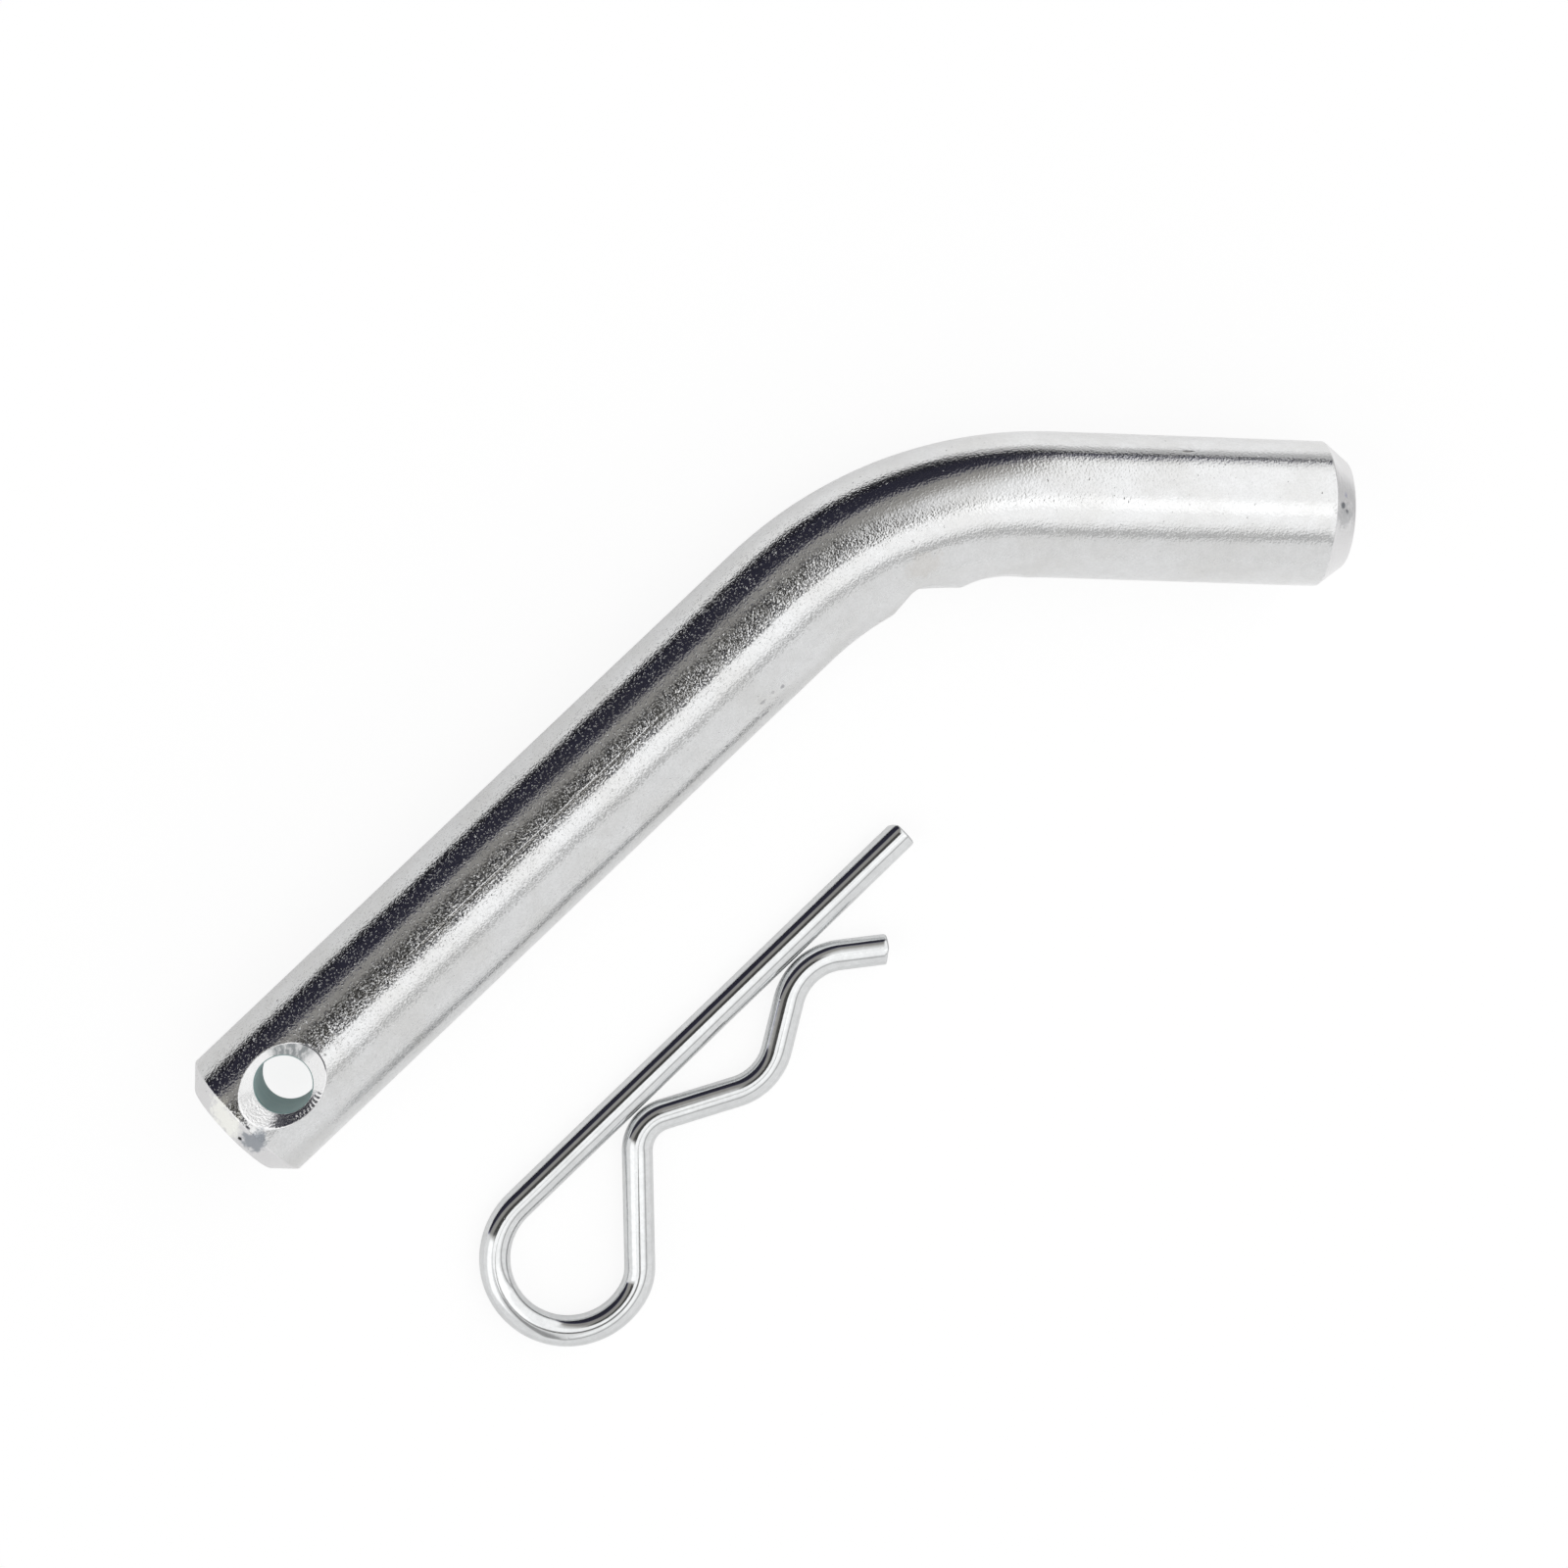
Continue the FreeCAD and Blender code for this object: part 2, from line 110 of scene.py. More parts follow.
def waves(x, y, z, seed, scale, count=14):
    """A smooth wavy field of about unit size: a fixed sum of sines in random directions."""
    draw = np.random.default_rng(seed)
    total = np.zeros_like(x, dtype=float)
    for _ in range(count):
        direction = draw.normal(size=3)
        direction *= draw.uniform(0.5, 1.6) / np.linalg.norm(direction)
        phase = draw.uniform(0, 2 * math.pi)
        along = x * direction[0] + y * direction[1] + z * direction[2]
        total += np.sin(along * 2 * math.pi / scale + phase)
    return total / math.sqrt(count)


def corner(a, b, c, steps=4):
    """Points of a small rounded corner from a to c that turns at b."""
    t = np.linspace(0, 1, steps + 1)[:, None]
    a, b, c = (np.asarray(p, float) for p in (a, b, c))
    return (1 - t) ** 2 * a + 2 * t * (1 - t) * b + t * t * c


class Skin:
    """Rows of points, faces and surface coordinates of one mesh, in millimetres."""

    def __init__(self):
        self.points, self.grain, self.tooled, self.faces, self.count = [], [], [], [], 0

    def row(self, points, grain, tooled=0.0):
        """Adds points and returns their numbers. grain is where the surface pattern is read."""
        points = np.atleast_2d(np.asarray(points, float))
        self.points.append(points)
        self.grain.append(np.broadcast_to(np.atleast_2d(np.asarray(grain, float)), points.shape))
        self.tooled.append(np.full(len(points), tooled))
        self.count += len(points)
        return np.arange(self.count - len(points), self.count)

    def join(self, one, other):
        """A closed strip of quads between two rows."""
        corners = (one, np.roll(one, -1), np.roll(other, -1), other)
        self.faces += zip(*(row.tolist() for row in corners))

    def lap(self, previous, points, grain, tooled=0.0):
        """A new row, joined to the previous one."""
        row = self.row(points, grain, tooled)
        self.join(previous, row)
        return row

    def fan(self, row, tip):
        """A closed fan of triangles from a row to one point."""
        self.faces += [(a, b, int(tip)) for a, b in zip(row.tolist(), np.roll(row, -1).tolist())]

    def build(self, name):
        """The mesh as an object, in metres, with its surface coordinates as attributes."""
        mesh = bpy.data.meshes.new(name)
        mesh.from_pydata((np.vstack(self.points) * MM).tolist(), [], self.faces)
        grain = mesh.attributes.new("grain", "FLOAT_VECTOR", "POINT")
        grain.data.foreach_set("vector", np.vstack(self.grain).astype(np.float32).ravel())
        tooled = mesh.attributes.new("tooled", "FLOAT", "POINT")
        tooled.data.foreach_set("value", np.concatenate(self.tooled).astype(np.float32))
        work = bmesh.new()
        work.from_mesh(mesh)
        bmesh.ops.recalc_face_normals(work, faces=work.faces)
        work.to_mesh(mesh)
        work.free()
        mesh.polygons.foreach_set("use_smooth", [True] * len(mesh.polygons))
        mesh.update()
        piece = bpy.data.objects.new(name, mesh)
        bpy.context.scene.collection.objects.link(piece)
        return piece


# ------------------------------------------------------------------ the pin
def tool_mark():
    """The marks inside the bend: the cut's reach from the bend's centre, by angle in degrees."""
    inside = BEND_RADIUS - BAR_RADIUS

    def at(angle, depth=0.0):
        t = math.radians(angle)
        return np.array([math.sin(t), math.cos(t)]) * (inside + depth)

    def arc(hub, radius, one, two, count):
        a, b = (math.atan2(*(p - hub)[::-1]) for p in (one, two))
        b += 2 * math.pi * round((a - b) / (2 * math.pi))
        return [hub + radius * np.array([math.cos(t), math.sin(t)]) for t in np.linspace(a, b, count)]

    start, root, ridge, finish = at(NOTCH_START), at(NOTCH_ROOT, NOTCH_DEPTH), at(NOTCH_END), at(MARK_END)
    back, on = start - root, ridge - root
    back /= np.linalg.norm(back)
    on /= np.linalg.norm(on)
    half = math.acos(float(back @ on)) / 2
    tangent = NOTCH_RADIUS / math.tan(half)
    middle = (back + on) / np.linalg.norm(back + on)
    rounding = arc(root + middle * NOTCH_RADIUS / math.sin(half), NOTCH_RADIUS,
                   root + back * tangent, root + on * tangent, 12)
    mid = (ridge + finish) / 2
    rise = math.sqrt(MARK_RADIUS ** 2 - np.sum((finish - ridge) ** 2) / 4)
    hollow = arc(mid - mid / np.linalg.norm(mid) * rise, MARK_RADIUS, ridge, finish, 24)
    line = [start] + rounding + hollow
    return [math.degrees(math.atan2(p[0], p[1])) for p in line], [float(np.linalg.norm(p)) for p in line]


MARK_ANGLES, MARK_REACHES = tool_mark()


def bar_points(s, radius, phi, rough=True):
    """Points of the bar's skin at arc length s; phi is 0 on the bend's inner side and 90 degrees on top."""
    s, radius, phi = np.broadcast_arrays(np.asarray(s, float), radius, phi)
    across, up = np.cos(phi), np.sin(phi)
    if rough:
        dips = waves(s * 0.6, BAR_RADIUS * across, BAR_RADIUS * up, seed=3, scale=DIP_SIZE)
        radius = radius - DIP_DEPTH * np.clip(1 + dips / 2, 0, 2)
    across, up = radius * across, radius * up
    turn = np.clip((s - SHANK_LENGTH) / BEND_RADIUS, 0, math.radians(BEND_SWEEP))
    inside = BEND_RADIUS - BAR_RADIUS
    cut = np.interp(np.degrees(turn), MARK_ANGLES, MARK_REACHES, left=inside, right=inside)
    blunt = 0.14 * smooth((cut - inside) / 0.3)
    reach = BEND_RADIUS - across
    pressed = 0.5 * (reach + cut + np.sqrt((reach - cut) ** 2 + blunt ** 2))
    reach = np.where(cut > inside + 1e-6, pressed, reach)
    before, after = np.minimum(s - SHANK_LENGTH, 0), np.maximum(s - SHANK_LENGTH - BEND_LENGTH, 0)
    x = HOLE_INSET - SHANK_LENGTH - np.sin(turn) * reach - before - after * np.cos(turn)
    y = BEND_RADIUS - np.cos(turn) * reach + after * np.sin(turn)
    return np.stack([x, y, up], axis=1)


def bar_grain(s, radius, phi):
    """Where the surface pattern of bar_points is read: the bar as if it were straight."""
    s, radius, phi = np.broadcast_arrays(np.asarray(s, float), radius, phi)
    return np.stack([s, radius * np.cos(phi), radius * np.sin(phi)], axis=1)


def bore_ring(radius, z, psi):
    """Points and grain of a ring round the cross-hole's axis."""
    radius, z, psi = np.broadcast_arrays(np.asarray(radius, float), z, psi)
    points = np.stack([radius * np.cos(psi), radius * np.sin(psi), z], axis=1)
    return points, hole_grain(points)


def hole_grain(points):
    """The same coordinates for points near the cross-hole, where the bar is straight."""
    return points * (-1, 1, 1) + (HOLE_INSET, 0, 0)


def end_rows(length, depth):
    """From an end face's middle over its chamfer to the bar: distances from the end, and radii."""
    edge_in, edge_out = 0.20, 0.14
    run = np.array([length, depth]) / math.hypot(length, depth)
    inner, outer = np.array([0.0, BAR_RADIUS - depth]), np.array([length, BAR_RADIUS])
    rows = [(0.0, r) for r in (0.7, 1.7, 2.7, 3.7, 4.6, 5.2)]
    rows += list(corner(inner - (0, edge_in), inner, inner + run * edge_in))
    rows += [inner + (length * t, depth * t) for t in (0.25, 0.4, 0.55, 0.7, 0.82)]
    rows += list(corner(outer - run * edge_out, outer, outer + (edge_out, 0)))
    return [(float(s), float(r)) for s, r in rows]


def build_pin():
    """The bar as rows of points round its axis, with a patch left open for each mouth of the cross-hole."""
    skin = Skin()
    columns = 192
    turns = np.arange(columns) * 2 * math.pi / columns
    profile, arm_profile = end_rows(*FREE_CHAMFER), end_rows(*ARM_CHAMFER)
    first, last = profile[-1][0], arm_profile[-1][0]
    # Each mouth's patch is this many rows long, and takes these columns on top and below.
    patch_end, patch_rows = 14.6, 26
    spans = ((24, 72), (120, 168))
    stations = np.concatenate([
        np.linspace(first, patch_end, patch_rows + 1)[1:],
        np.linspace(patch_end, SHANK_LENGTH, 132)[1:],
        SHANK_LENGTH + np.linspace(0, BEND_LENGTH, 106)[1:],
        np.linspace(SHANK_LENGTH + BEND_LENGTH, BAR_LENGTH - last, 64)[1:]])
    rows = profile + [(s, BAR_RADIUS) for s in stations]
    rows += [(BAR_LENGTH - s, r) for s, r in reversed(arm_profile)][1:]
    top = len(profile) - 1
    patch = (top, top + patch_rows)

    grid = []
    for i, (s, r) in enumerate(rows):
        drawn = top <= i < len(rows) - top
        keep = np.ones(columns, bool)
        if patch[0] < i < patch[1]:
            for a, b in spans:
                keep[a + 1:b] = False
        numbers = np.full(columns, -1)
        phi = turns[keep]
        numbers[keep] = skin.row(bar_points(s, r, phi, drawn), bar_grain(s, r, phi), 1.0 - drawn)
        grid.append(numbers)
    for i in range(len(rows) - 1):
        for j in range(columns):
            if patch[0] <= i < patch[1] and any(a <= j < b for a, b in spans):
                continue
            n = (j + 1) % columns
            skin.faces.append(tuple(int(k) for k in (grid[i][j], grid[i][n], grid[i + 1][n], grid[i + 1][j])))
    for row, s in ((grid[0], 0.0), (grid[-1], BAR_LENGTH)):
        skin.fan(row, skin.row(bar_points([s], 0.0, 0.0, False), (s, 0, 0), END)[0])

    # The cross-hole: each mouth's patch runs from the grid's edge in to the rim, over the rim, down the
    # countersink and over its edge into the bore.
    bore_top = BAR_RADIUS - (SINK_RADIUS - HOLE_RADIUS)
    rim_soft, bore_soft, laps = 0.11, 0.16, 12
    mouths = []
    for span, side in zip(spans, (1, -1)):
        loop = [(patch[0], j) for j in range(span[0], span[1])]
        loop += [(i, span[1]) for i in range(patch[0], patch[1])]
        loop += [(patch[1], j) for j in range(span[1], span[0], -1)]
        loop += [(i, span[0]) for i in range(patch[1], patch[0], -1)]
        s0 = np.array([rows[i][0] for i, j in loop])
        phi0 = np.array([turns[j] for i, j in loop])
        psi = np.arctan2(BAR_RADIUS * np.cos(phi0), HOLE_INSET - s0)
        deep = bore_top - HOLE_RADIUS
        square = 1 + np.sin(psi) ** 2
        rim = (-deep + np.sqrt(deep ** 2 - square * (deep ** 2 - BAR_RADIUS ** 2))) / square
        x, y = (rim + rim_soft) * np.cos(psi), (rim + rim_soft) * np.sin(psi)
        s1 = HOLE_INSET - x
        phi1 = np.arctan2(side * np.sqrt(BAR_RADIUS ** 2 - y ** 2), y) % (2 * math.pi)

        previous = np.array([grid[i][j] for i, j in loop])
        for k in range(1, laps + 1):
            t = 1 - (1 - k / laps) ** 1.6
            s, phi = s0 + (s1 - s0) * t, phi0 + (phi1 - phi0) * t
            previous = skin.lap(previous, bar_points(s, BAR_RADIUS, phi), bar_grain(s, BAR_RADIUS, phi))
        a = bar_points(s1, BAR_RADIUS, phi1)
        b, _ = bore_ring(rim, side * (deep + rim), psi)
        c, _ = bore_ring(rim - rim_soft, side * (deep + rim - rim_soft), psi)
        for t in (0.25, 0.5, 0.75, 1.0):
            p = (1 - t) ** 2 * a + 2 * t * (1 - t) * b + t * t * c
            previous = skin.lap(previous, p, hole_grain(p), CONE * t)
        for t in np.linspace(0, 1, 10)[1:]:
            r = (rim - rim_soft) * (1 - t) + (HOLE_RADIUS + bore_soft) * t
            previous = skin.lap(previous, *bore_ring(r, side * (deep + r), psi), CONE)
        edge = corner((HOLE_RADIUS + bore_soft, bore_top + bore_soft), (HOLE_RADIUS, bore_top),
                      (HOLE_RADIUS, bore_top - bore_soft))
        for r, z in edge[1:]:
            previous = skin.lap(previous, *bore_ring(r, side * z, psi), BORE)
        mouths.append((previous, psi))
    (upper, upper_psi), (lower, lower_psi) = mouths
    # Both mouths' rings meet in the bore, each point with the nearest one of the other ring.
    gap = np.abs(np.angle(np.exp(1j * (upper_psi[:, None] - lower_psi[None, :]))))
    previous = upper
    for z in np.linspace(1, -1, 26)[1:-1] * (bore_top - bore_soft):
        previous = skin.lap(previous, *bore_ring(HOLE_RADIUS, z, upper_psi), BORE)
    skin.join(previous, lower[gap.argmin(axis=1)])
    return skin.build("hitch_pin")


# ------------------------------------------------------------------ the clip
def wire_route():
    """Points, directions and arc lengths of the wire's axis, from the straight leg's tip round the loop."""
    step = 0.4
    place, heading, run = np.array([LEG_LENGTH, LOOP_RADIUS]), math.pi, 0.0
    noted = [(*place, heading, run)]
    pieces = [("line", LEG_LENGTH), ("left", LOOP_RADIUS, 90.0 + LOOP_SWEEP)] + list(SPRING_LEG)
    for kind, size, *sweep in pieces:
        if kind == "line":
            count = max(2, round(size / step))
            for _ in range(count):
                place = place + size / count * np.array([math.cos(heading), math.sin(heading)])
                run += size / count
                noted.append((*place, heading, run))
            continue
        sign = 1 if kind == "left" else -1
        total = math.radians(sweep[0])
        count = max(6, round(size * total / (step * 0.75)))
        for _ in range(count):
            centre = place + sign * size * np.array([-math.sin(heading), math.cos(heading)])
            heading += sign * total / count
            place = centre - sign * size * np.array([-math.sin(heading), math.cos(heading)])
            run += size * total / count
            noted.append((*place, heading, run))
    return np.array(noted)


def build_clip():
    """The wire, and how far each of its points follows the spring leg, from 0 to 1 round the loop."""
    skin = Skin()
    route = wire_route()
    lengths = route[:, 3]
    total = lengths[-1]
    columns = 48
    turns = np.arange(columns) * 2 * math.pi / columns
    turn = math.radians(CLIP_TURN)
    weights = []

    def ring(s, radius, phi, tooled=0.0):
        """A row of the wire's skin at arc length s; the cutter leaves a slanted facet on each tip."""
        s, radius, phi = np.broadcast_arrays(float(s), float(radius), np.asarray(phi, float))
        trim_a = 0.75 * np.maximum(0.0, radius * np.cos(phi - math.radians(215)) - 0.25)
        trim_b = 0.35 * np.maximum(0.0, radius * np.cos(phi - math.radians(150)) - 0.5)
        s = np.minimum(np.maximum(s, trim_a), total - trim_b)
        x, y, heading = (np.interp(s, lengths, route[:, k]) for k in range(3))
        x = x - np.sin(heading) * radius * np.cos(phi)
        y = y + np.cos(heading) * radius * np.cos(phi)
        weights.append(smooth((s - LEG_LENGTH) / (math.pi * LOOP_RADIUS)))
        return skin.row(np.stack([CLIP_PLACE[0] + math.cos(turn) * x - math.sin(turn) * y,
                                  CLIP_PLACE[1] + math.sin(turn) * x + math.cos(turn) * y,
                                  TABLE_Z + WIRE_RADIUS + radius * np.sin(phi)], axis=1),
                        np.stack([s, radius * np.cos(phi), radius * np.sin(phi)], axis=1), tooled)

    blunt = 0.3
    tip_edge = corner((0, WIRE_RADIUS - blunt), (0.04, WIRE_RADIUS - 0.04), (blunt, WIRE_RADIUS), 5)
    cap = [(0.0, r) for r in (0.35, 0.8, 1.15)] + list(tip_edge)
    near = [0.6, 0.9, 1.2, 1.5, 1.8]
    along = near + [v for v in lengths if 2.1 < v < total - 2.1] + [total - v for v in reversed(near)]
    rows = cap + [(s, WIRE_RADIUS) for s in along] + [(total - s, r) for s, r in reversed(cap)]
    cut = len(cap) - 2
    rings = [ring(s, r, turns, 0.0 if cut <= i < len(rows) - cut else END) for i, (s, r) in enumerate(rows)]
    for one, other in zip(rings, rings[1:]):
        skin.join(one, other)
    skin.fan(rings[0], ring(0.0, 0.0, [0.0], END)[0])
    skin.fan(rings[-1], ring(total, 0.0, [0.0], END)[0])
    return skin.build("spring_clip"), np.concatenate(weights)


pin = build_pin()
clip, clip_weights = build_clip()


# ------------------------------------------------------------------ materials
class Nodes:
    """Short calls for building a node tree."""

    def __init__(self, tree):
        self.tree = tree
        tree.nodes.clear()

    def put(self, kind, values=None, **settings):
        """A node with its settings, its inputs set to values or linked to sockets."""
        node = self.tree.nodes.new(kind)
        for name, value in settings.items():
            setattr(node, name, value)
        for name, value in (values or {}).items():
            self.feed(node.inputs[name], value)
        return node

    def feed(self, socket, value):
        if isinstance(value, bpy.types.NodeSocket):
            self.tree.links.new(value, socket)
        else:
            socket.default_value = value

    def maths(self, operation, *values):
        return self.put("ShaderNodeMath", dict(enumerate(values)), operation=operation).outputs[0]

    def plus(self, total, *values):
        for value in values:
            total = self.maths("ADD", total, value)
        return total

    def times(self, product, *values):
        for value in values:
            product = self.maths("MULTIPLY", product, value)
        return product

    def less(self, value):
        """What is left of one."""
        return self.maths("SUBTRACT", 1.0, value)

    def hypotenuse(self, one, other):
        return self.maths("SQRT", self.plus(self.times(one, one), self.times(other, other)))

    def vector(self, operation, *values):
        node = self.put("ShaderNodeVectorMath", dict(enumerate(values)), operation=operation)
        return node.outputs[1 if operation in ("DOT_PRODUCT", "LENGTH") else 0]

    def scale(self, vector, factor):
        values = {"Vector": vector, "Scale": factor}
        return self.put("ShaderNodeVectorMath", values, operation="SCALE").outputs[0]

    def noise(self, vector, scale, detail=2.0, rough=0.5):
        values = {"Vector": vector, "Scale": scale, "Detail": detail, "Roughness": rough}
        return self.put("ShaderNodeTexNoise", values).outputs["Fac"]

    def ramp(self, value, low, high, to_low=0.0, to_high=1.0):
        """A smooth step from to_low at low to to_high at high."""
        values = {0: value, 1: low, 2: high, 3: to_low, 4: to_high}
        return self.put("ShaderNodeMapRange", values, clamp=True, interpolation_type="SMOOTHSTEP").outputs[0]

    def inside(self, *limits):
        """One where each value is between its soft edges, and zero outside.

        A limit is a value and one or two edges, each from where it is zero to where it is one.
        """
        total = 1.0
        for value, *edges in limits:
            for zero, one in zip(edges[::2], edges[1::2]):
                ends = (0.0, 1.0) if zero < one else (1.0, 0.0)
                total = self.times(total, self.ramp(value, min(zero, one), max(zero, one), *ends))
        return total

    def mix(self, factor, one, two):
        node = self.put("ShaderNodeMix", data_type="RGBA")
        for place, value in ((0, factor), (6, one), (7, two)):
            self.feed(node.inputs[place], value)
        return node.outputs[2]


def zinc(name, colour, shade, rough, grain, lines, swell, pits, worked):
    """Bright zinc plate: fine grain, drawing lines along the bar, slow waves, pits and faint stains.

    grain and lines are (size, height) in millimetres, swell and pits are heights, and worked changes
    (tone, roughness, heights) where the surface was cut, struck or stained.
    """
    material = bpy.data.materials.new(name)
    material.use_nodes = True
    n = Nodes(material.node_tree)
    where = n.put("ShaderNodeAttribute", attribute_name="grain").outputs["Vector"]
    tooled = n.put("ShaderNodeAttribute", attribute_name="tooled").outputs["Fac"]
    fine = n.noise(where, 1 / grain[0], 1.0, 0.5)
    drawn = n.noise(n.vector("MULTIPLY", where, (0.04, 1.0, 1.0)), 1 / lines[0], 1.0, 0.5)
    slow = n.noise(n.vector("MULTIPLY", where, (0.5, 1.0, 1.0)), 0.24, 1.0, 0.4)
    patches = n.noise(where, 0.16, 3.0, 0.6)

    # Pits sit in warped cells: a cell's colour decides whether it has one, and how wide.
    warp = n.scale(n.put("ShaderNodeTexNoise", {"Vector": where, "Scale": 3.0}).outputs["Color"], 0.35)
    cell = n.put("ShaderNodeTexVoronoi", {"Vector": n.vector("ADD", where, warp), "Scale": 1 / 0.9})
    chance = n.put("ShaderNodeSeparateColor", {"Color": cell.outputs["Color"]}).outputs
    reach = n.ramp(chance[1], 0.0, 1.0, 0.07, 0.20)
    pit = n.times(n.ramp(cell.outputs["Distance"], 0.02, reach, 1.0, 0.0), n.ramp(chance[0], 0.62, 0.7))

    heights = n.plus(n.times(fine, grain[1]), n.times(drawn, lines[1]),
                     n.times(slow, swell), n.times(pit, -pits))
    tone = n.mix(n.ramp(patches, 0.35, 0.7), colour, shade)
    tone = n.mix(n.ramp(fine, 0.3, 0.7, 0.0, 0.2), tone, tuple(c * 0.8 for c in shade[:3]) + (1.0,))
    tone = n.mix(n.ramp(n.noise(where, 0.8, 2.0, 0.6), 0.4, 0.65, 0.0, 0.12), tone, (0.5, 0.5, 0.5, 1))
    roughness = n.plus(rough, n.ramp(patches, 0.3, 0.8, 0.0, 0.05))
    tone, roughness, heights = worked(n, where, tooled, tone, roughness, heights)
    bump = n.put("ShaderNodeBump", {"Height": heights, "Distance": MM, "Strength": 1.0}).outputs[0]
    shader = n.put("ShaderNodeBsdfPrincipled", {
        "Base Color": tone, "Metallic": 1.0, "Roughness": roughness, "Normal": bump})
    n.put("ShaderNodeOutputMaterial", {"Surface": shader.outputs[0]})
    return material


# Marks on the pin: centre in the bar's own coordinates, radius, stretch, colour, strength, added roughness
# and depth. The first four are on the free end, and those past 143 mm on the arm's end.
PIN_MARKS = (
    ((1.1, -1.7, 6.8), 2.0, (1, 0.75, 1), (0.98, 0.98, 0.93), 0.9, 0.0, 0.0),
    ((1.6, 2.1, 6.9), 1.7, (1, 1, 1), (0.17, 0.20, 0.24), 0.7, 0.15, 0.01),
    ((2.3, 0.58, 7.9), 0.27, (1.3, 0.6, 1), (0.03, 0.03, 0.04), 0.95, 0.1, 0.008),
    ((0.7, 0.95, 6.5), 0.24, (1, 1, 1), (0.02, 0.02, 0.02), 1.0, 0.2, 0.08),
    ((96.2, 4.28, 6.68), 1.6, (0.6, 1, 1), (0.54, 0.47, 0.39), 0.15, 0.1, 0.0),
    ((126.9, -5.77, 5.44), 0.22, (0.22, 1, 1), (0.20, 0.19, 0.18), 0.8, 0.1, 0.03),
    ((143.9, 0.55, 7.0), 1.15, (0.7, 0.8, 1), (0.40, 0.41, 0.42), 0.5, 0.10, 0.0),
    ((143.6, -0.40, 7.20), 0.36, (1, 1, 1), (0.12, 0.13, 0.15), 0.8, 0.15, 0.02),
    ((144.1, 0.15, 6.79), 0.34, (1, 1, 1), (0.12, 0.13, 0.15), 0.8, 0.15, 0.02),
    ((144.0, -1.5, 6.71), 0.40, (1, 1, 1), (0.42, 0.42, 0.52), 0.7, 0.15, 0.02),
    ((74.54, 5.95, 5.23), 0.26, (1, 1, 1), (0.36, 0.36, 0.38), 0.8, 0.1, 0.02),
    ((71.86, 5.71, 5.50), 0.30, (0.6, 1, 1), (0.40, 0.40, 0.41), 0.8, 0.1, 0.02),
    ((73.38, 7.13, 3.45), 0.34, (0.8, 1, 1), (0.42, 0.42, 0.43), 0.7, 0.1, 0.02),
    ((73.33, 5.67, 5.54), 0.22, (1, 1, 1), (0.45, 0.45, 0.46), 0.7, 0.1, 0.02),
    ((71.26, 6.85, 3.98), 0.28, (0.4, 1, 1), (0.45, 0.45, 0.46), 0.7, 0.1, 0.02),
)


# What the tools left on the pin, in millimetres: grain sizes or pitches with their heights or depths, and
# where one smooth line runs across the bar. The chatter is in teeth per turn round the cross-hole.
CREST_GRAIN, CREST_HEIGHT = 0.19, 0.062
DARK_SPECK_GRAIN = 0.24
SPECK_GRAIN, SPECK_HEIGHT = 0.21, 0.013
LATHE_PITCH, LATHE_DEPTH = 0.30, 0.0010
DRILL_PITCH, DRILL_DEPTH = 0.34, 0.0005
CHATTER_TEETH, CHATTER_DEPTH = 48, 0.030
DIE_LINE = -0.72


